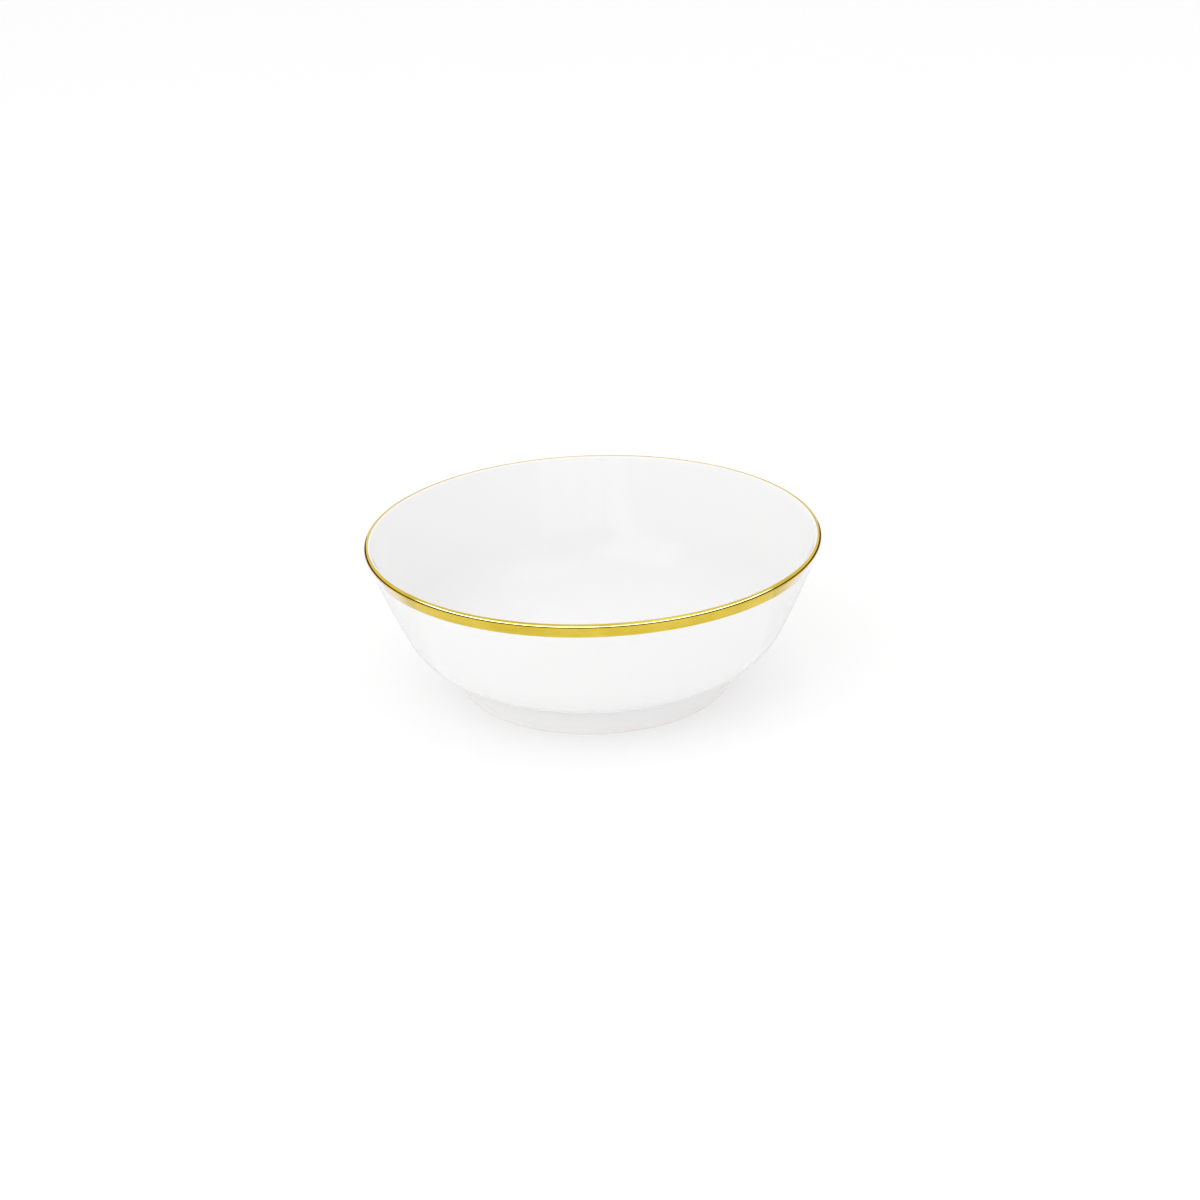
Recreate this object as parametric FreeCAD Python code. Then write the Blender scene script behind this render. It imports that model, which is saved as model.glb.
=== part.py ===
"""A round footed serving bowl in glazed porcelain, with a gilded lip and a gilded band below it.

The bowl and its foot ring are two clay pieces, stuck together with slip before the first firing. A coat of
glaze is fired over them next: one coat covers the bowl inside and out and the outside of the foot, and
another covers the recess inside the foot. The ring that stands on the table is wiped bare between them.
The gilding is painted and fired on last, as a line round the lip and as a band below it.

Every piece is turned about the Z axis, so each is one closed outline in the XZ plane, swept a full turn.
The origin is the middle of the circle that the bowl stands on. Millimetres, +Z up.

The outlines take the thickness of the coat that lies on the clay: 0 gives the bare clay, the glaze's
thickness gives the glazed surface, and both coats together give the gilded one. A piece that lies on
another is built from the same outline, so the two meet face to face at any size.
"""

import FreeCAD
import Part

import math
import os

# Overall sizes, over the gilding
rim_diameter = 230.0
bowl_height = 79.0

# Bowl, in bare fired clay
lip_thickness = 2.6          # of the wall at the lip, which is a full round
floor_thickness = 4.6        # under the middle of the well
wall_angle = 69.5            # of the outside at the lip, in degrees from the horizontal
wall_sweep_radius = 590.0    # the slight outward swell of the outside wall
belly_radius = 40.0          # outside, where the wall turns in under the bowl
well_radius = 38.0           # inside, where the wall turns into the floor

# Foot ring, in bare fired clay
foot_diameter = 137.6        # over the outside, at the table
foot_height = 12.5           # from the table to the underside of the floor
foot_width = 4.6             # of the ring, at the table
foot_outside_taper = 6.0     # the outside leans in towards the bowl, in degrees
foot_inside_taper = 9.0      # the inside leans in towards the bowl, in degrees
foot_edge_radius = 0.8       # rounding of the two edges at the table

# Slip that joins the foot to the bowl
slip_thickness = 0.5
slip_cove_radius = 1.5       # slip pressed out of the joint and sponged round

# Coats
glaze_thickness = 0.2
glaze_pooling = 0.3          # extra cove radius, where glaze pools between foot and bowl
glaze_line_height = 3.2      # the foot is wiped bare of glaze from the table up to here
gold_thickness = 0.1
gilding_height = 6.8         # on the outside, from the bottom of the band to the top of the lip
gilding_turn = 105.0         # where it ends on the lip, in degrees: 0 faces outwards and 90 is the top
lip_line_spans = 8           # both faces of the thin line are divided alike, so that they stay parallel

AXIS = FreeCAD.Vector(0, 0, 1)
ORIGIN = FreeCAD.Vector(0, 0, 0)
SAME = 1e-4                  # two places closer than this are one


# Outlines and solids


def at(radius, height):
    """A point of an outline."""
    return FreeCAD.Vector(radius, 0, height)


def direction(angle):
    """The unit vector at this angle, in degrees, measured up from the radial direction."""
    return at(math.cos(math.radians(angle)), math.sin(math.radians(angle)))


def arc(centre, radius, start, end):
    """An arc about a centre, from one angle to another."""
    points = [centre + direction(a) * radius for a in (start, (start + end) / 2, end)]
    return Part.Arc(*points).toShape()


def spans(centre, radius, start, end, count):
    """The same arc, divided into equal spans."""
    angles = [start + (end - start) * i / count for i in range(count + 1)]
    return [arc(centre, radius, low, high) for low, high in zip(angles, angles[1:])]


def turned(edges):
    """The solid that a closed outline sweeps in a full turn. Gaps between the edges become straight lines."""
    outline = []
    for edge, following in zip(edges, edges[1:] + edges[:1]):
        end = edge.lastVertex(True).Point
        start = following.firstVertex(True).Point
        outline.append(edge)
        if not end.isEqual(start, SAME):
            outline.append(Part.makeLine(end, start))
    solid = Part.Face(Part.Wire(outline)).revolve(ORIGIN, AXIS, 360)
    return solid if solid.Volume > 0 else solid.reversed()


# Where the arcs of the bowl's outline lie, in bare clay

lip_radius = lip_thickness / 2
gilded_coat = glaze_thickness + gold_thickness
lip = at(rim_diameter / 2 - gilded_coat - lip_radius, bowl_height - gilded_coat - lip_radius)

wall_normal = wall_angle - 90
inner_sweep_radius = wall_sweep_radius - lip_thickness
wall_centre = lip - direction(wall_normal) * (wall_sweep_radius - lip_radius)
well_height = foot_height + floor_thickness


def turn_into_wall(level, turn_radius, sweep_radius):
    """Centre and last angle of the arc that leads from a level floor into the wall's sweep."""
    rise = level + turn_radius - wall_centre.z
    reach = math.sqrt((sweep_radius - turn_radius) ** 2 - rise**2)
    centre = at(wall_centre.x + reach, level + turn_radius)
    return centre, math.degrees(math.atan2(rise, reach))


belly, belly_end = turn_into_wall(foot_height, belly_radius, wall_sweep_radius)
well, well_end = turn_into_wall(well_height, well_radius, inner_sweep_radius)


def underside_height(radius):
    """Height of the bare bowl's underside at this radius."""
    past = max(radius - belly.x, 0)
    return belly.z - math.sqrt(belly_radius**2 - past**2)


# The bowl and the foot, with a coat of any thickness


def bowl(coat):
    """The bowl without its foot, coated all over."""
    return turned(
        [
            Part.makeLine(at(0, well_height + coat), at(0, foot_height - coat)),
            arc(belly, belly_radius + coat, -90, belly_end),
            arc(wall_centre, wall_sweep_radius + coat, belly_end, wall_normal),
            arc(lip, lip_radius + coat, wall_normal, wall_normal + 180),
            arc(wall_centre, inner_sweep_radius - coat, wall_normal, well_end),
            arc(well, well_radius - coat, well_end, -90),
        ]
    )


def foot(coat):
    """The foot ring, coated on both sides and run up halfway into the bowl's wall."""
    outside = foot_diameter / 2
    inside = outside - foot_width
    lean_out = math.tan(math.radians(foot_outside_taper))
    lean_in = math.tan(math.radians(foot_inside_taper))
    high = underside_height(outside) + lip_radius
    low = underside_height(inside) + lip_radius
    outside += coat * math.hypot(1, lean_out)
    inside -= coat * math.hypot(1, lean_in)
    ring = turned(
        [
            Part.makeLine(at(inside, 0), at(outside, 0)),
            Part.makeLine(at(outside - high * lean_out, high), at(inside - low * lean_in, low)),
        ]
    )
    standing_edges = [edge for edge in rings(ring) if edge.Curve.Center.z < SAME]
    return ring.makeFillet(foot_edge_radius + coat, standing_edges)


def rings(shape):
    """The shape's edges that run right round the axis."""
    circles = [edge for edge in shape.Edges if isinstance(edge.Curve, Part.Circle)]
    return [edge for edge in circles if edge.Curve.Axis.isParallel(AXIS, SAME)]


def same_ring(one, other):
    """Whether two rings have the same radius and height."""
    level = abs(one.Curve.Center.z - other.Curve.Center.z) < SAME
    return level and abs(one.Curve.Radius - other.Curve.Radius) < SAME


def bowl_on_foot(coat, cove_radius):
    """Bowl and foot as one solid, with a cove in both corners where they meet."""
    top, base = bowl(coat), foot(coat)
    meeting = rings(top.section(base))
    whole = top.fuse(base)
    corners = [edge for edge in rings(whole) if any(same_ring(edge, other) for other in meeting)]
    return whole.makeFillet(cove_radius, corners)


def above(height):
    """A block that holds everything above this height."""
    half = rim_diameter
    return Part.makeBox(2 * half, 2 * half, 2 * bowl_height, FreeCAD.Vector(-half, -half, height))


# The pieces


def clay_pieces():
    """The bowl, the foot that is cut to seat on it, and the slip between and around them."""
    bowl_body = bowl(0)
    foot_ring = foot(0).cut(bowl(slip_thickness))
    slip = bowl_on_foot(0, slip_cove_radius).cut([bowl_body, foot_ring])
    return {"bowl_body": bowl_body, "foot_ring": foot_ring, "foot_slip_joint": slip}


def glaze_coats(clay):
    """The two coats of glaze, which the bare standing ring keeps apart."""
    glazed = bowl_on_foot(glaze_thickness, slip_cove_radius + glaze_pooling)
    coats = glazed.cut(list(clay.values())).common(above(glaze_line_height))
    recess, main = sorted(coats.Solids, key=lambda solid: solid.Volume)
    return {"glaze_coat": main, "glaze_recess_coat": recess}


def gilding():
    """The gold line over the lip, and the gold band that meets it on the outside."""
    lip_line = turned(
        spans(lip, lip_radius + gilded_coat, wall_normal, gilding_turn, lip_line_spans)
        + spans(lip, lip_radius + glaze_thickness, gilding_turn, wall_normal, lip_line_spans)
    )
    drop = bowl_height - gilding_height - wall_centre.z
    band_bottom = math.degrees(math.asin(drop / (wall_sweep_radius + gilded_coat)))
    band = turned(
        [
            arc(wall_centre, wall_sweep_radius + glaze_thickness, wall_normal, band_bottom),
            arc(wall_centre, wall_sweep_radius + gilded_coat, band_bottom, wall_normal),
        ]
    )
    return {"gold_lip_line": lip_line, "gold_band": band}


def main():
    clay = clay_pieces()
    pieces = {**clay, **glaze_coats(clay), **gilding()}
    os.makedirs("parts", exist_ok=True)
    for name, shape in pieces.items():
        if not shape.isValid() or len(shape.Solids) != 1:
            raise ValueError(f"{name} isn't one valid solid")
        shape.Solids[0].exportStep(f"parts/{name}.step")
        box = shape.BoundBox
        print(f"{name}: {shape.Volume / 1000:.2f} cm3, z {box.ZMin:.2f} to {box.ZMax:.2f} mm")


main()
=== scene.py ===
# %% [markdown]
# # A gilded porcelain serving bowl
#
# The bowl is white glazed porcelain on a turned foot ring, with gold over its lip and a gold band just below
# it. Everything on it is round about one upright axis. So every piece is made as a potter makes it: an
# outline is drawn in the upright XZ plane, and the outline is turned once round the Z axis.
#
# The main sizes come from the frame, which holds the bowl's real solids, in metres. The radii and angles of
# the outlines are typed in, as they are cut into a potter's template.

import math

import bmesh
import bpy
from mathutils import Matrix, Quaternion, Vector


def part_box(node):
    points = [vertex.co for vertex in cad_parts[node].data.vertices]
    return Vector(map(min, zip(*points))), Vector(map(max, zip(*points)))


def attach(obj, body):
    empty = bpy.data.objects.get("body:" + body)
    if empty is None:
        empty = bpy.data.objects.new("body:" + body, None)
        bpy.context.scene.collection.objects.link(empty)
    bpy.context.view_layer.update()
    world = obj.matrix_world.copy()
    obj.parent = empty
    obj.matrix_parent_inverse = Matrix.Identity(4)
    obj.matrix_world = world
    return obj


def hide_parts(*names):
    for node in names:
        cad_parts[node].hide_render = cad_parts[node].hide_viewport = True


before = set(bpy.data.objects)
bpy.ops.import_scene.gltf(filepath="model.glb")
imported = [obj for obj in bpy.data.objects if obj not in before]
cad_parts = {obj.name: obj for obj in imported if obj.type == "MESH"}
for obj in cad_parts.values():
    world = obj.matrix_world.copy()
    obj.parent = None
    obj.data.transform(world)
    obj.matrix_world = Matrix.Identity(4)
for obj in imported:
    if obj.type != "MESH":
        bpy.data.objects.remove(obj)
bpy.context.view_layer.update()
print("the frame's nodes:", sorted(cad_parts))

# %% [markdown]
# ## The camera
#
# The camera looks down on the bowl at about 23 degrees, from a little under 1.4 m, through a long lens, so
# the far rim is hardly smaller than the near one. It leans a little to one side, so the bowl stands a little
# askew in the picture. The camera comes first, because everything else is judged through it.

# %% Camera
LOOK_AT = Vector((0.0027, 0.0, 0.0424))
CAMERA_DISTANCE = 1.38
CAMERA_ELEVATION = 23.28
CAMERA_LEAN = -1.88
CAMERA_LENS = 81.4


def heading(azimuth, elevation):
    """The way to look from the bowl, in degrees. Azimuth 0 is the front, and 90 is the right side."""
    turn, rise = math.radians(azimuth), math.radians(elevation)
    return Vector((math.sin(turn) * math.cos(rise), -math.cos(turn) * math.cos(rise), math.sin(rise)))


camera = bpy.data.objects.new("camera", bpy.data.cameras.new("camera"))
camera.data.lens = CAMERA_LENS
to_camera = heading(0, CAMERA_ELEVATION)
camera.location = LOOK_AT + to_camera * CAMERA_DISTANCE
camera.rotation_mode = "QUATERNION"
lean = Quaternion((0, 0, 1), math.radians(CAMERA_LEAN))
camera.rotation_quaternion = to_camera.to_track_quat("Z", "Y") @ lean
bpy.context.scene.collection.objects.link(camera)
bpy.context.scene.camera = camera
print("the camera is at", [round(c, 3) for c in camera.location])

# %% [markdown]
# ## A pen that draws outlines
#
# An outline could be typed in as a long list of points, but nobody could read it or change it. A pen is
# better: it starts with one vertex, extrudes it for a straight line, and spins it about a centre for an
# arc. The arc is then true whatever the number of steps, and each stroke is a part of the bowl.

# %% The pen
class Pen:
    """Draws an outline in the XZ plane, as a chain of edges in a bmesh of its own."""

    def __init__(self, start):
        self.mesh = bmesh.new()
        self.tip = bmesh.ops.create_vert(self.mesh, co=start)["vert"][0]

    def line(self, end, steps=1):
        """A straight stroke, in equal steps."""
        start = self.tip.co.copy()
        for step in range(1, steps + 1):
            self.tip = bmesh.ops.extrude_vert_indiv(self.mesh, verts=[self.tip])["verts"][0]
            self.tip.co = start.lerp(end, step / steps)

    def arc(self, centre, sweep, steps):
        """A stroke about a centre. A positive sweep turns from the X axis up to the Z axis."""
        stroke = bmesh.ops.spin(
            self.mesh, geom=[self.tip], cent=centre, axis=(0, -1, 0), angle=sweep, steps=steps
        )
        self.tip = next(part for part in stroke["geom_last"] if isinstance(part, bmesh.types.BMVert))


def at(radius, height):
    """A point of an outline."""
    return Vector((radius, 0.0, height))


def towards(angle):
    """The unit vector at this angle above the level, in an outline."""
    return at(math.cos(angle), math.sin(angle))


# %% [markdown]
# ## The potter's wheel
#
# Spinning a whole outline makes the surface. Where the outline starts on the axis, the spin leaves many
# vertices in one place, so the doubles are merged, and then the normals are worked out afresh. With 240
# steps, a facet at the rim lies within a hundredth of a millimetre of the true circle.

# %% The wheel
WHEEL_STEPS = 240
WELD = 1e-6
CORNER = math.radians(35)


def throw(pen):
    """Turns the pen's outline a full turn about the Z axis."""
    mesh = pen.mesh
    outline = mesh.verts[:] + mesh.edges[:]
    bmesh.ops.spin(
        mesh, geom=outline, cent=(0, 0, 0), axis=(0, 0, 1), angle=math.tau, steps=WHEEL_STEPS, use_merge=True
    )
    bmesh.ops.remove_doubles(mesh, verts=mesh.verts, dist=WELD)
    bmesh.ops.recalc_face_normals(mesh, faces=mesh.faces)
    return mesh


def add_piece(mesh, name, node, material):
    """Makes a smooth piece of a bmesh. It rides with the bowl, and stands for one solid of the frame."""
    for face in mesh.faces:
        face.smooth = True
    for edge in mesh.edges:
        edge.smooth = not edge.is_boundary and edge.calc_face_angle(0.0) < CORNER
    data = bpy.data.meshes.new(name)
    mesh.to_mesh(data)
    mesh.free()
    data.materials.append(material)
    made = bpy.data.objects.new(name, data)
    bpy.context.scene.collection.objects.link(made)
    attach(made, "root")
    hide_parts(node)
    reach = max(vertex.co.x for vertex in data.vertices)
    heights = [vertex.co.z for vertex in data.vertices]
    print(f"{name}: {len(data.polygons)} faces, radius {reach * 1000:.2f} mm,", end=" ")
    print(f"height {min(heights) * 1000:.2f} to {max(heights) * 1000:.2f} mm")
    return made


# %% [markdown]
# ## Where the outline's arcs lie
#
# The frame's boxes give the rim, the height of the underside and the thickness of the glaze. The rest is the
# potter's own template: the wall leans out and swells very slightly, a round turns it in under the bowl,
# another turns it into the well's floor, and the lip is a full round. The arcs run into each other without a
# kink, so each centre follows from the one before.

# %% The bowl's template
body_low, body_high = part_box("bowl_body")
glaze_low, glaze_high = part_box("glaze_coat")

LIP_THICKNESS = 0.0026
FLOOR_THICKNESS = 0.0046
WALL_NORMAL = math.radians(-20.5)
WALL_SWEEP_RADIUS = 0.590
BELLY_RADIUS = 0.040
WELL_RADIUS = 0.038

GLAZE = glaze_high.z - body_high.z
lip = at(body_high.x - LIP_THICKNESS / 2, body_high.z - LIP_THICKNESS / 2)
wall_centre = lip - towards(WALL_NORMAL) * (WALL_SWEEP_RADIUS - LIP_THICKNESS / 2)
underside = body_low.z
well_floor = underside + FLOOR_THICKNESS


def turn_into_wall(level, radius, wall_radius):
    """Centre and last angle of the arc that leads from a level floor into the wall."""
    rise = level + radius - wall_centre.z
    reach = math.sqrt((wall_radius - radius) ** 2 - rise**2)
    return at(wall_centre.x + reach, level + radius), math.atan2(rise, reach)


belly, belly_end = turn_into_wall(underside, BELLY_RADIUS, WALL_SWEEP_RADIUS)
well, well_end = turn_into_wall(well_floor, WELL_RADIUS, WALL_SWEEP_RADIUS - LIP_THICKNESS)
print(f"the glaze is {GLAZE * 1000:.2f} mm thick, and the wall starts {belly.z * 1000:.1f} mm up")

# %% [markdown]
# The foot's two sides are straight lines in the outline, and both lean in towards the bowl. Each one meets
# the belly where a line beside the foot crosses a circle about the belly's centre. The same crossing, a
# little further out from both, is the centre of the cove that the glaze forms when it pools in the corner.

# %% The foot's template
FOOT_RADIUS = 0.0688
FOOT_WIDTH = 0.0046
OUTSIDE_LEAN = math.radians(6)
INSIDE_LEAN = math.radians(9)
SLIP = 0.0005
COVE = 0.0018


def foot_side(height, lean, radius, coat=0.0):
    """A point on a side of the foot, over a coat. A negative coat lies on the inside."""
    return at(radius - height * math.tan(lean) + coat / math.cos(lean), height)


def meets_belly(lean, radius, coat, gap):
    """Where the line beside the foot comes within this gap of the belly."""
    along = towards(math.pi / 2 + lean)
    foot = foot_side(0.0, lean, radius, coat)
    nearest = (belly - foot).dot(along)
    aside = (foot + along * nearest - belly).length
    return foot + along * (nearest - math.sqrt((BELLY_RADIUS + gap) ** 2 - aside**2))


seat = meets_belly(OUTSIDE_LEAN, FOOT_RADIUS, 0.0, SLIP)
print(f"the foot's outside meets the slip {seat.z * 1000:.2f} mm up, at radius {seat.x * 1000:.2f} mm")

# %% [markdown]
# ## Nodes for the finishes
#
# Every finish reads the Object coordinates. Its grain then keeps its real size, and stays put when the bowl
# is turned. These few helpers add the nodes, so that each finish below is short enough to read as a recipe.

# %% Helpers for nodes
def new_finish(name):
    """A material with a Principled shader. Returns it with its node tree and its shader."""
    material = bpy.data.materials.new(name)
    material.use_nodes = True
    return material, material.node_tree, material.node_tree.nodes["Principled BSDF"]


def feed(tree, socket, value):
    """Links a socket to another node's socket, or sets its value."""
    if isinstance(value, bpy.types.NodeSocket):
        tree.links.new(value, socket)
    else:
        socket.default_value = value


def add_node(tree, kind, inputs, **settings):
    """Adds a node with these settings, and feeds its inputs."""
    made = tree.nodes.new(kind)
    for name, value in settings.items():
        setattr(made, name, value)
    for name, value in inputs.items():
        feed(tree, made.inputs[name], value)
    return made


def place(tree, stretch=(1.0, 1.0, 1.0)):
    """Object coordinates, in metres from the middle of the foot, stretched along each axis."""
    here = tree.nodes.new("ShaderNodeTexCoord").outputs["Object"]
    return add_node(tree, "ShaderNodeMapping", {"Vector": here, "Scale": stretch}).outputs["Vector"]


def grain(tree, vector, per_metre, detail=2.0):
    """Soft noise from 0 to 1, with this many bumps to the metre."""
    inputs = {"Vector": vector, "Scale": per_metre, "Detail": detail}
    return add_node(tree, "ShaderNodeTexNoise", inputs).outputs["Fac"]


def ranged(tree, value, low, high, to_low, to_high):
    """Maps a value from one range to another."""
    inputs = {"Value": value, "From Min": low, "From Max": high, "To Min": to_low, "To Max": to_high}
    return add_node(tree, "ShaderNodeMapRange", inputs).outputs["Result"]


def blend(tree, share, first, second):
    """A colour between two others."""
    inputs = {"Factor": share, 6: first, 7: second}
    return add_node(tree, "ShaderNodeMix", inputs, data_type="RGBA").outputs[2]


def relief(tree, height, depth, under=None):
    """A surface raised by a height from 0 to 1, this many metres deep, on top of another relief."""
    made = add_node(tree, "ShaderNodeBump", {"Height": height, "Distance": depth})
    if under:
        feed(tree, made.inputs["Normal"], under)
    return made.outputs["Normal"]


# %% [markdown]
# ## Porcelain under a clear glaze
#
# Porcelain is a white body under a thin layer of glass, and the Principled shader has both: its base is the
# white body, and its coat is the glaze. A fired glaze is never quite flat. It has a very slight orange peel,
# and the faint rings of the potter's template show through it. Both are reliefs of a few thousandths of a
# millimetre, so only the reflections show them. The white is never quite even either, so it drifts a little
# between warm and cool. A few pinholes come from Voronoi cells: one shows only where the glaze happens to
# pass through the very heart of a cell.

# %% The glaze's finish
WARM_WHITE = (0.905, 0.897, 0.892, 1.0)
COOL_WHITE = (0.89, 0.888, 0.892, 1.0)
PINHOLE = (0.70, 0.67, 0.63, 1.0)
PINHOLE_CELLS_PER_METRE = 70.0
PINHOLE_HEART, PINHOLE_RIM = 0.012, 0.022    # as shares of a cell
TEMPLATE_MARK_DEPTH = 0.000002
ORANGE_PEEL_DEPTH = 0.000004


def glaze_finish():
    """White body under clear glass, with a rare pinhole."""
    material, tree, shader = new_finish("glazed_porcelain")
    white = blend(tree, grain(tree, place(tree), 16.0), WARM_WHITE, COOL_WHITE)
    cells = add_node(tree, "ShaderNodeTexVoronoi", {"Vector": place(tree), "Scale": PINHOLE_CELLS_PER_METRE})
    pinholes = ranged(tree, cells.outputs["Distance"], PINHOLE_HEART, PINHOLE_RIM, 1.0, 0.0)
    feed(tree, shader.inputs["Base Color"], blend(tree, pinholes, white, PINHOLE))
    feed(tree, shader.inputs["Roughness"], ranged(tree, grain(tree, place(tree), 45.0), 0.3, 0.7, 0.30, 0.42))
    shader.inputs["Specular IOR Level"].default_value = 0.0
    shader.inputs["Coat Weight"].default_value = 1.0
    shader.inputs["Coat Roughness"].default_value = 0.03
    shader.inputs["Coat IOR"].default_value = 1.5
    level = place(tree, (1.0, 1.0, 0.0))
    radius = add_node(tree, "ShaderNodeVectorMath", {0: level}, operation="LENGTH").outputs["Value"]
    rings = add_node(tree, "ShaderNodeTexNoise", {"W": radius, "Scale": 240.0}, noise_dimensions="1D")
    template_marks = relief(tree, rings.outputs["Fac"], TEMPLATE_MARK_DEPTH)
    peel = grain(tree, place(tree), 170.0, detail=1.0)
    orange_peel = relief(tree, peel, ORANGE_PEEL_DEPTH, template_marks)
    feed(tree, shader.inputs["Coat Normal"], orange_peel)
    return material


glazed_porcelain = glaze_finish()
print("made", glazed_porcelain.name)

# %% [markdown]
# ## The glaze over the bowl
#
# One stroke follows another: across the well's floor, up the inside, over the lip, down the outside, round
# the belly, through the cove, and down the foot to the line where the glaze was wiped away. The wheel turns
# that into a skin with no thickness. A Solidify modifier gives the skin the glaze's thickness, and a Bevel
# rounds its lower edge, because melted glaze draws itself up into a soft bead.

# %% Glaze over the bowl
BEAD = 0.00008


def add_thickness(made, thickness, side):
    """Gives a skin its thickness: side -1 is behind its faces, and 1 is in front of them."""
    solidify = made.modifiers.new("thickness", "SOLIDIFY")
    solidify.thickness = thickness
    solidify.offset = side
    solidify.use_even_offset = True


def add_bead(made):
    """Rounds the edges of a coat of glaze."""
    bevel = made.modifiers.new("bead", "BEVEL")
    bevel.width = BEAD
    bevel.segments = 3
    bevel.limit_method = "ANGLE"
    bevel.angle_limit = math.radians(60)
    bevel.harden_normals = True


def glaze_over_bowl():
    """The skin over the well, the lip, the outside and the outside of the foot."""
    cove = meets_belly(OUTSIDE_LEAN, FOOT_RADIUS, GLAZE + COVE, GLAZE + COVE)
    below_belly = math.atan2(cove.z - belly.z, cove.x - belly.x)
    pen = Pen(at(0.0, well_floor + GLAZE))
    pen.line(at(well.x, well_floor + GLAZE), steps=8)
    pen.arc(well, well_end + math.pi / 2, steps=36)
    pen.arc(wall_centre, WALL_NORMAL - well_end, steps=14)
    pen.arc(lip, -math.pi, steps=24)
    pen.arc(wall_centre, belly_end - WALL_NORMAL, steps=14)
    pen.arc(belly, below_belly - belly_end, steps=32)
    pen.arc(cove, OUTSIDE_LEAN - below_belly, steps=10)
    pen.line(foot_side(glaze_low.z, OUTSIDE_LEAN, FOOT_RADIUS, GLAZE), steps=4)
    return throw(pen)


glaze = add_piece(glaze_over_bowl(), "glaze_over_bowl", "glaze_coat", glazed_porcelain)
add_thickness(glaze, GLAZE, side=-1)
add_bead(glaze)

# %% [markdown]
# ## The glaze inside the foot
#
# A second coat of glaze covers the recess under the bowl. Its outline starts on the axis too, runs out along
# the underside, turns down through a cove and ends at the same height inside the foot. This skin is hollow
# towards the table, so its recalculated faces look up at the clay, and its thickness goes in front of them.

# %% Glaze in the recess
recess_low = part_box("glaze_recess_coat")[0]
INSIDE_RADIUS = FOOT_RADIUS - FOOT_WIDTH


def glaze_in_recess():
    """The skin under the floor and down the inside of the foot."""
    ceiling = underside - GLAZE
    cove = foot_side(ceiling - COVE, INSIDE_LEAN, INSIDE_RADIUS, -GLAZE - COVE)
    pen = Pen(at(0.0, ceiling))
    pen.line(at(cove.x, ceiling), steps=8)
    pen.arc(cove, INSIDE_LEAN - math.pi / 2, steps=10)
    pen.line(foot_side(recess_low.z, INSIDE_LEAN, INSIDE_RADIUS, -GLAZE), steps=4)
    return throw(pen)


recess = add_piece(glaze_in_recess(), "glaze_in_recess", "glaze_recess_coat", glazed_porcelain)
add_thickness(recess, GLAZE, side=1)
add_bead(recess)

# %% [markdown]
# ## Bare fired clay
#
# Where the glaze was wiped away, the clay is bare: matt, a little warmer than the glazed white, and with the
# fine tooth of an unglazed biscuit. It turns grey in patches towards the standing edge, greyest where it
# meets the table. The slip that joins the foot to the bowl is the same clay, mixed with water, so it is
# smoother.

# %% The clay's finishes
BISCUIT = (0.89, 0.865, 0.855, 1.0)
BISCUIT_PALE = (0.93, 0.915, 0.905, 1.0)
EDGE_GREY = (0.70, 0.68, 0.66, 1.0)
EDGE_GREY_UP_TO = 0.0008


def clay_finish(name, tooth, roughness):
    """Bare clay. The tooth is the depth of its grain, in metres."""
    material, tree, shader = new_finish(name)
    clay = blend(tree, grain(tree, place(tree), 90.0, detail=6.0), BISCUIT, BISCUIT_PALE)
    height = add_node(tree, "ShaderNodeSeparateXYZ", {"Vector": place(tree)}).outputs["Z"]
    # Grey patches on the clay's lowest 0.8 mm, half grey at most, and greyest at the standing edge.
    near_table = ranged(tree, height, 0.0, EDGE_GREY_UP_TO, 0.5, 0.0)
    patches = ranged(tree, grain(tree, place(tree), 35.0, detail=4.0), 0.4, 0.65, 0.0, 1.0)
    edge_grey_share = add_node(tree, "ShaderNodeMath", {0: near_table, 1: patches}, operation="MULTIPLY")
    feed(tree, shader.inputs["Base Color"], blend(tree, edge_grey_share.outputs["Value"], clay, EDGE_GREY))
    shader.inputs["Roughness"].default_value = roughness
    shader.inputs["Specular IOR Level"].default_value = 0.3
    feed(tree, shader.inputs["Normal"], relief(tree, grain(tree, place(tree), 2600.0, detail=3.0), tooth))
    return material


bare_clay = clay_finish("bare_clay", tooth=0.00003, roughness=0.85)
dried_slip = clay_finish("dried_slip", tooth=0.00001, roughness=0.7)
print("made", bare_clay.name, "and", dried_slip.name)

# %% [markdown]
# ## The foot ring
#
# The foot is the bowl's only piece of clay that shows. It is drawn as a closed outline: down the outside,
# across the standing face, up the inside, and along the hollow seat that fits the slip under the bowl. The
# two edges at the table are sponged round, so they get a bevel once the ring is turned.

# %% The foot ring
EDGE_ROUND = 0.0008


def round_off(mesh, radius, turn):
    """Rounds the edge at the table that runs round at this radius. The turn is between its two faces."""
    ring = [
        edge
        for edge in mesh.edges
        if all(abs(v.co.z) < WELD and abs(v.co.xy.length - radius) < WELD for v in edge.verts)
    ]
    bmesh.ops.bevel(
        mesh,
        geom=ring,
        offset=EDGE_ROUND * math.tan(turn / 2),
        segments=6,
        profile=0.5,
        affect="EDGES",
        material=-1,
    )


def foot_ring():
    """The ring as a closed solid, with its hollow seat on top."""
    inner_seat = meets_belly(INSIDE_LEAN, INSIDE_RADIUS, 0.0, SLIP)
    seat_start, seat_end = (math.atan2(p.z - belly.z, p.x - belly.x) for p in (inner_seat, seat))
    pen = Pen(seat)
    pen.line(at(FOOT_RADIUS, 0.0), steps=6)
    pen.line(at(INSIDE_RADIUS, 0.0), steps=3)
    pen.line(inner_seat, steps=6)
    pen.arc(belly, seat_end - seat_start, steps=6)
    mesh = throw(pen)
    round_off(mesh, FOOT_RADIUS, math.pi / 2 + OUTSIDE_LEAN)
    round_off(mesh, INSIDE_RADIUS, math.pi / 2 - INSIDE_LEAN)
    return mesh


foot = add_piece(foot_ring(), "turned_foot", "foot_ring", bare_clay)

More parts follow.
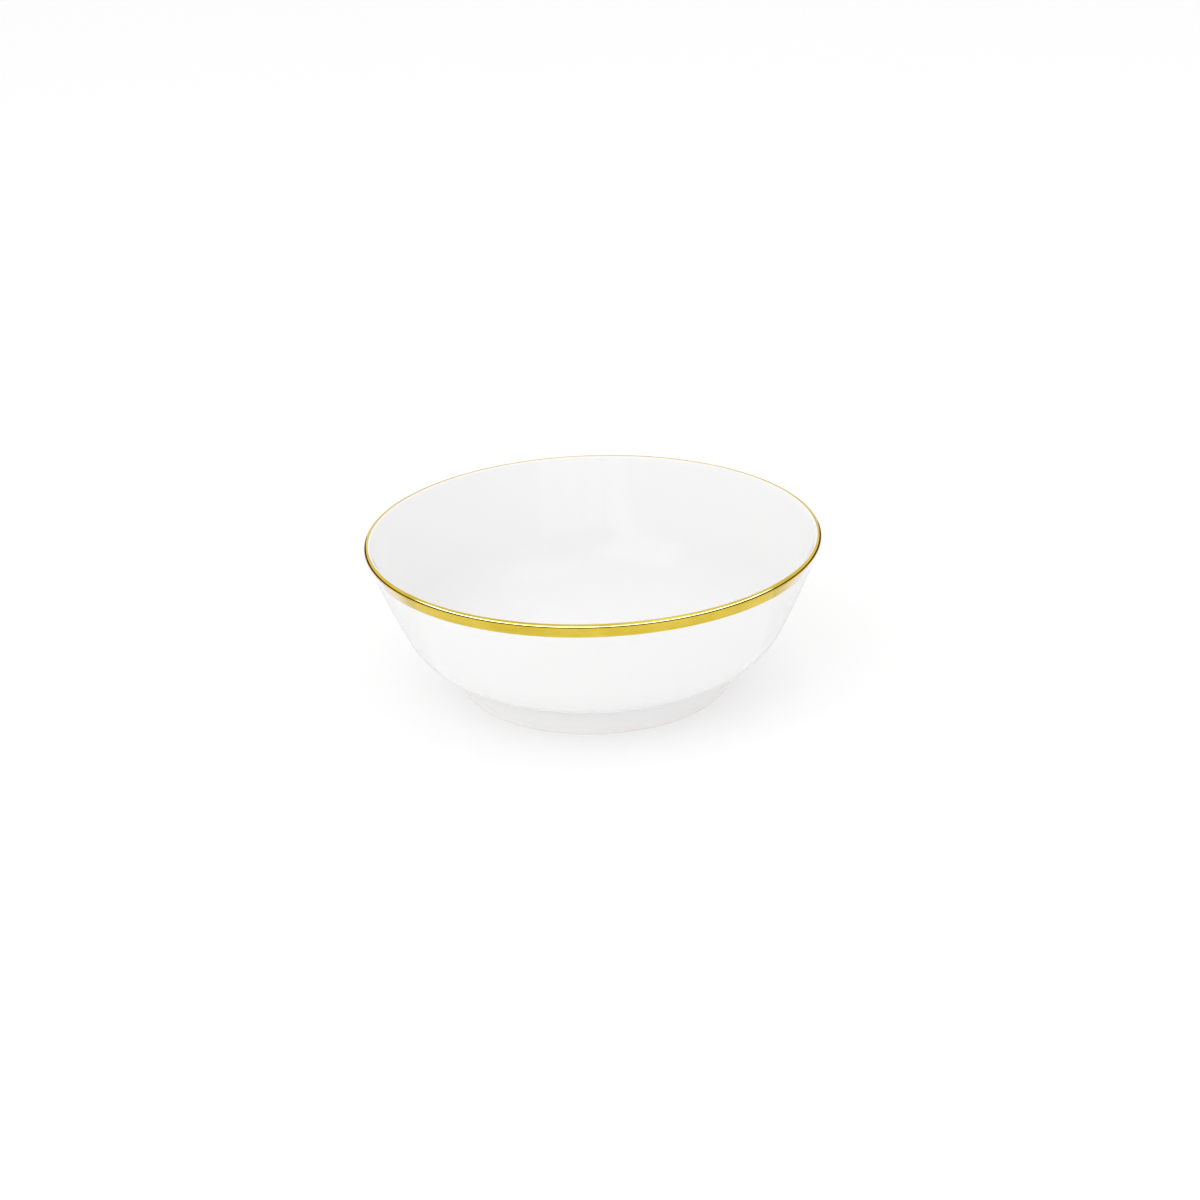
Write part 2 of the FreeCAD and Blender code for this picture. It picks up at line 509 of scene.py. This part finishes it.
# %% [markdown]
# ## The clay that stays hidden
#
# The bowl's own wall and the slip in the joint are covered on every side. Their shapes are right as they
# come from the frame, so they stay, and they only get their finish.

# %% Bowl wall and slip joint
def refinish(name, material):
    """Gives a solid of the frame another material."""
    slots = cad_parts[name].data.materials
    slots.clear()
    slots.append(material)
    print("refinished", name)


refinish("bowl_body", bare_clay)
refinish("foot_slip_joint", dried_slip)

# %% [markdown]
# ## Burnished gold
#
# The gilding is brushed on while the bowl turns slowly on a banding wheel, fired, and burnished. So it is a
# mirror with a trace of the brush: fine streaks that run round the bowl. The streaks come from noise that is
# stretched thin, many to the metre upwards and few to the metre sideways. They change the roughness and the
# colour a little, and press a very shallow relief.

# %% The gold's finish
GOLD_DEEP = (0.62, 0.455, 0.040, 1.0)
GOLD_BRIGHT = (0.76, 0.58, 0.075, 1.0)
BRUSH = (18.0, 18.0, 2200.0)
BRUSH_DEPTH = 0.000003
GOLD_ROUGHNESS = (0.06, 0.12)


def gold_finish():
    """A mirror of gold, streaked by the brush."""
    material, tree, shader = new_finish("burnished_gold")
    streaks = grain(tree, place(tree, BRUSH), 1.0, detail=4.0)
    clouds = grain(tree, place(tree), 60.0, detail=3.0)
    tone = add_node(tree, "ShaderNodeMath", {0: streaks, 1: clouds}, operation="ADD").outputs["Value"]
    share = ranged(tree, tone, 0.75, 1.25, 0.0, 1.0)
    feed(tree, shader.inputs["Base Color"], blend(tree, share, GOLD_DEEP, GOLD_BRIGHT))
    feed(tree, shader.inputs["Roughness"], ranged(tree, share, 0.0, 1.0, *GOLD_ROUGHNESS))
    shader.inputs["Metallic"].default_value = 1.0
    feed(tree, shader.inputs["Normal"], relief(tree, streaks, BRUSH_DEPTH))
    return material


burnished_gold = gold_finish()
print("made", burnished_gold.name)

# %% [markdown]
# ## Gold over the lip
#
# The gold line starts where the outside wall meets the round of the lip, runs over the top and stops just
# past it, on the inside. It is a skin about the lip's own centre. It is thicker than real gilding, so that it
# stands clear of the glaze, and its underside is sunk into the glaze, so that no gap shows between the two.

# %% Gold over the lip
GOLD = 0.00008
GOLD_SINK = 0.00002
LIP_GOLD_END = math.radians(105)


def gold_over_lip():
    """The skin over the round of the lip."""
    pen = Pen(lip + towards(WALL_NORMAL) * (LIP_THICKNESS / 2 + GLAZE + GOLD))
    pen.arc(lip, LIP_GOLD_END - WALL_NORMAL, steps=30)
    return throw(pen)


lip_gold = add_piece(gold_over_lip(), "gold_over_lip", "gold_lip_line", burnished_gold)
add_thickness(lip_gold, GOLD + GOLD_SINK, side=-1)

# %% [markdown]
# ## The gold band below the lip
#
# The band carries on from the lip's gold down the outside wall. Its lower edge is painted freehand against
# the turning bowl, so it wanders by up to 0.06 mm. Two slow waves and a quick one, with whole numbers of
# swings to the turn, close on themselves without a step.

# %% The gold band
band_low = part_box("gold_band")[0]
HAND_WAVES = ((5, 0.00003), (11, 0.00002), (37, 0.00001))


def gold_band():
    """The skin down the outside, with the painter's wandering lower edge."""
    radius = WALL_SWEEP_RADIUS + GLAZE + GOLD
    deepest = sum(swing for count, swing in HAND_WAVES)
    bottom = math.asin((band_low.z + deepest - wall_centre.z) / radius)
    pen = Pen(wall_centre + towards(WALL_NORMAL) * radius)
    pen.arc(wall_centre, bottom - WALL_NORMAL, steps=6)
    mesh = throw(pen)
    top = max(vertex.co.z for vertex in mesh.verts)
    for vertex in mesh.verts:
        share = (top - vertex.co.z) / (top - band_low.z)
        turn = math.atan2(vertex.co.y, vertex.co.x)
        wander = sum(swing * math.sin(count * turn + count) for count, swing in HAND_WAVES) * share
        vertex.co.z += wander
        vertex.co.xy *= 1 - wander * math.tan(WALL_NORMAL) / vertex.co.xy.length
    return mesh


band = add_piece(gold_band(), "gold_band_below_lip", "gold_band", burnished_gold)
add_thickness(band, GOLD + GOLD_SINK, side=-1)

# %% [markdown]
# ## The table
#
# The bowl stands on a lit table, a pale sheet that glows a little from below. It keeps the shadow under the
# bowl soft and pale. Seen from underneath it is clear, so that the foot can be looked at from below.

# %% The lit table
TABLE_WIDTH = 12.0
TABLE_WHITE = (0.68, 0.68, 0.68, 1.0)
TABLE_GLOW = 0.31
WHITE_LIGHT = (1.0, 1.0, 1.0, 1.0)


def stage_finish(name, surface):
    """A material for something that isn't the bowl. A function of the node tree makes its surface."""
    material, tree, shader = new_finish(name)
    tree.nodes.remove(shader)
    feed(tree, tree.nodes["Material Output"].inputs["Surface"], surface(tree))
    return material


def glow(tree, colour, strength):
    """A surface that shines."""
    return add_node(tree, "ShaderNodeEmission", {"Color": colour, "Strength": strength}).outputs["Emission"]


def table_surface(tree):
    """A white sheet that glows, and is clear from below."""
    sheet = add_node(tree, "ShaderNodeBsdfDiffuse", {"Color": TABLE_WHITE}).outputs["BSDF"]
    lit = add_node(tree, "ShaderNodeAddShader", {0: sheet, 1: glow(tree, WHITE_LIGHT, TABLE_GLOW)})
    clear = tree.nodes.new("ShaderNodeBsdfTransparent").outputs["BSDF"]
    from_below = tree.nodes.new("ShaderNodeNewGeometry").outputs["Backfacing"]
    sides = {0: from_below, 1: lit.outputs["Shader"], 2: clear}
    return add_node(tree, "ShaderNodeMixShader", sides).outputs["Shader"]


def add_stage(mesh, name, material):
    """Makes a bmesh into something that stands round the bowl and isn't part of it."""
    data = bpy.data.meshes.new(name)
    mesh.to_mesh(data)
    mesh.free()
    data.materials.append(material)
    made = bpy.data.objects.new(name, data)
    bpy.context.scene.collection.objects.link(made)
    return made


def sheet_mesh(width, height):
    """A flat rectangle that lies level and faces up."""
    mesh = bmesh.new()
    bmesh.ops.create_grid(mesh, x_segments=1, y_segments=1, size=0.5)
    bmesh.ops.scale(mesh, verts=mesh.verts, vec=(width, height, 1.0))
    return mesh


add_stage(sheet_mesh(TABLE_WIDTH, TABLE_WIDTH), "lit_table", stage_finish("lit_sheet", table_surface))
print("the table is", TABLE_WIDTH, "m wide")

# %% [markdown]
# ## Soft studio light
#
# White porcelain wants light from all round, so the air itself glows evenly, and one large softbox at the
# left front gives the bowl its slight shading. A smaller one, high on the right, fills in the left of the
# inside. A card only adds light if it is brighter than the air that it hides. Four panes and a slim lamp
# hang behind the camera only to be mirrored: the panes in the back wall of the bowl, as a window would be,
# and the lamp right under the far rim.

# %% Air, softbox, window and lamp
AIR = 0.97
PANE_AZIMUTHS = (-14, -1, 12, 25)

world = bpy.data.worlds.new("studio_air")
world.use_nodes = True
world.node_tree.nodes["Background"].inputs["Color"].default_value = WHITE_LIGHT
world.node_tree.nodes["Background"].inputs["Strength"].default_value = AIR
bpy.context.scene.world = world
bpy.context.scene.view_settings.view_transform = "Standard"


def keep_out_of_sight(made, gives_light):
    """Hides a card from the camera. Without light of its own it is only seen in reflections."""
    made.visible_camera = False
    made.visible_shadow = False
    made.visible_diffuse = gives_light


def hang(name, azimuth, elevation, distance, size, strength, gives_light=True):
    """Hangs a flat shining card so that it faces the bowl."""
    finish = stage_finish(name, lambda tree: glow(tree, WHITE_LIGHT, strength))
    card = add_stage(sheet_mesh(*size), name, finish)
    way = heading(azimuth, elevation)
    card.rotation_mode = "QUATERNION"
    card.rotation_quaternion = way.to_track_quat("Z", "Y")
    card.location = LOOK_AT + way * distance
    keep_out_of_sight(card, gives_light)


hang("softbox", azimuth=-40, elevation=48, distance=1.8, size=(1.4, 1.4), strength=1.65)
hang("fill", azimuth=80, elevation=68, distance=1.8, size=(1.0, 1.0), strength=1.40)
for number, azimuth in enumerate(PANE_AZIMUTHS):
    pane = f"window_pane_{number}"
    hang(pane, azimuth, elevation=24, distance=2.0, size=(0.34, 0.26), strength=1.45, gives_light=False)
hang("lamp", azimuth=13, elevation=20.4, distance=2.0, size=(0.55, 0.03), strength=6.0, gives_light=False)
print("the air glows at", AIR)

# %% [markdown]
# ## Something for the gold to mirror
#
# In an even white room, gold looks like yellow paint, because a mirror only shows its surroundings. The lip
# is a round, so it mirrors everything from the table to the ceiling, in a few lines that run along it. A low
# hoop round the bowl draws the dark line. A high hoop, open at the back, draws the light line, and a flat one
# that lies behind the bowl makes the band's two ends pale.
#
# Light linking keeps all this off the glaze. A shining thing that is cut off from a piece still stands in
# the way, and that piece sees it black. So the low hoop shines as the air does, but only for the glaze and
# the foot: they don't notice it, and the gold sees it black. The other hoops shine for the gold alone, and
# they are also clear, so that the glaze looks through them. One of them stands right before the low hoop,
# and turns the black to brown. Gold swallows blue, so the light that is to look white in it is blue.

# %% Hoops round the bowl
HOOP_STEPS = 64
FRONT = math.radians(-90)
BEHIND = math.radians(90)

LOW_HOOP_RADIUS = 0.300
LOW_HOOP_BOTTOM = 0.055
LOW_HOOP_TOP = 0.16
LOW_HOOP_SWEEP = math.radians(280)
BROWN_LIGHT = (0.12, 0.03, 0.0, 1.0)
BROWN_STRENGTH = 1.0
BROWN_BEFORE = 0.005

HIGH_HOOP_EDGES = (at(1.45, 0.87), at(1.15, 1.14))
HIGH_HOOP_SWEEP = math.radians(205)
BRIGHT_LIGHT = (0.10, 0.14, 1.00, 1.0)
BRIGHT_STRENGTH = 30.0

FLAT_HOOP_EDGES = (at(0.12, 0.001), at(0.28, 0.001))
FLAT_HOOP_SWEEP = math.radians(280)
PALE_LIGHT = (0.17, 0.24, 1.00, 1.0)
PALE_STRENGTH = 1.6
PALE_FROM, PALE_TO = -0.035, 0.015


def hoop_mesh(low, high, sweep, middle):
    """A strip between two points of an outline, turned about the Z axis, with its middle at this angle."""
    mesh = bmesh.new()
    ends = [bmesh.ops.create_vert(mesh, co=point)["vert"][0] for point in (low, high)]
    bmesh.ops.contextual_create(mesh, geom=ends)
    outline = mesh.verts[:] + mesh.edges[:]
    start = Quaternion((0, 0, 1), middle - sweep / 2).to_matrix()
    bmesh.ops.rotate(mesh, verts=mesh.verts, cent=(0, 0, 0), matrix=start)
    bmesh.ops.spin(mesh, geom=outline, cent=(0, 0, 0), axis=(0, 0, 1), angle=sweep, steps=HOOP_STEPS)
    return mesh


def clear_glow(tree, colour, strength):
    """A surface that shines and can be looked through."""
    clear = tree.nodes.new("ShaderNodeBsdfTransparent").outputs["BSDF"]
    both = add_node(tree, "ShaderNodeAddShader", {0: glow(tree, colour, strength), 1: clear})
    return both.outputs["Shader"]


def brown_surface(tree):
    """What the dark line mirrors."""
    return clear_glow(tree, BROWN_LIGHT, BROWN_STRENGTH)


def bright_surface(tree):
    """What the light line mirrors."""
    return clear_glow(tree, BRIGHT_LIGHT, BRIGHT_STRENGTH)


def pale_surface(tree):
    """What the band's ends mirror: clear in front, and brighter towards the back."""
    depth = add_node(tree, "ShaderNodeSeparateXYZ", {"Vector": place(tree)}).outputs["Y"]
    return clear_glow(tree, PALE_LIGHT, ranged(tree, depth, PALE_FROM, PALE_TO, 0.0, PALE_STRENGTH))


def add_hoop(mesh, name, surface, seen_by):
    """Stands a hoop round the bowl, which shines only for these pieces."""
    hoop = add_stage(mesh, name, stage_finish(name, surface))
    keep_out_of_sight(hoop, gives_light=False)
    pieces = bpy.data.collections.new("seen_by_" + name)
    for piece in seen_by:
        pieces.objects.link(piece)
    hoop.light_linking.receiver_collection = pieces
    print(name, "shines for", [piece.name for piece in seen_by])


def low_hoop_mesh(radius):
    """The upright strip that the dark line mirrors."""
    return hoop_mesh(at(radius, LOW_HOOP_BOTTOM), at(radius, LOW_HOOP_TOP), LOW_HOOP_SWEEP, FRONT)


dark_hoop = low_hoop_mesh(LOW_HOOP_RADIUS)
brown_hoop = low_hoop_mesh(LOW_HOOP_RADIUS - BROWN_BEFORE)
high_hoop = hoop_mesh(*HIGH_HOOP_EDGES, HIGH_HOOP_SWEEP, FRONT)
flat_hoop = hoop_mesh(*FLAT_HOOP_EDGES, FLAT_HOOP_SWEEP, BEHIND)
add_hoop(dark_hoop, "dark_hoop", lambda tree: glow(tree, WHITE_LIGHT, AIR), (glaze, recess, foot))
add_hoop(brown_hoop, "brown_hoop", brown_surface, (lip_gold, band))
add_hoop(high_hoop, "bright_hoop", bright_surface, (lip_gold, band))
add_hoop(flat_hoop, "pale_hoop", pale_surface, (lip_gold, band))

# %% [markdown]
# ## An outline for the glaze
#
# At its sides the glaze mirrors the white table, and would melt into it. A grey film lies just over the table
# behind the bowl. Only mirrored rays meet it, so it darkens what the bowl mirrors there, and the table itself
# stays as pale as it is.

# %% Grey film
FILM_GREY = (0.86, 0.86, 0.86, 1.0)
FILM_HEIGHT = 0.002
FILM_FROM, FILM_TO = 0.07, 0.90
FILM_SWEEP = math.radians(200)


def film_surface(tree):
    """A clear grey film."""
    return add_node(tree, "ShaderNodeBsdfTransparent", {"Color": FILM_GREY}).outputs["BSDF"]


film_mesh = hoop_mesh(at(FILM_FROM, FILM_HEIGHT), at(FILM_TO, FILM_HEIGHT), FILM_SWEEP, BEHIND)
film = add_stage(film_mesh, "grey_film", stage_finish("grey_film", film_surface))
keep_out_of_sight(film, gives_light=False)
print("the film lies", FILM_HEIGHT * 1000, "mm over the table")
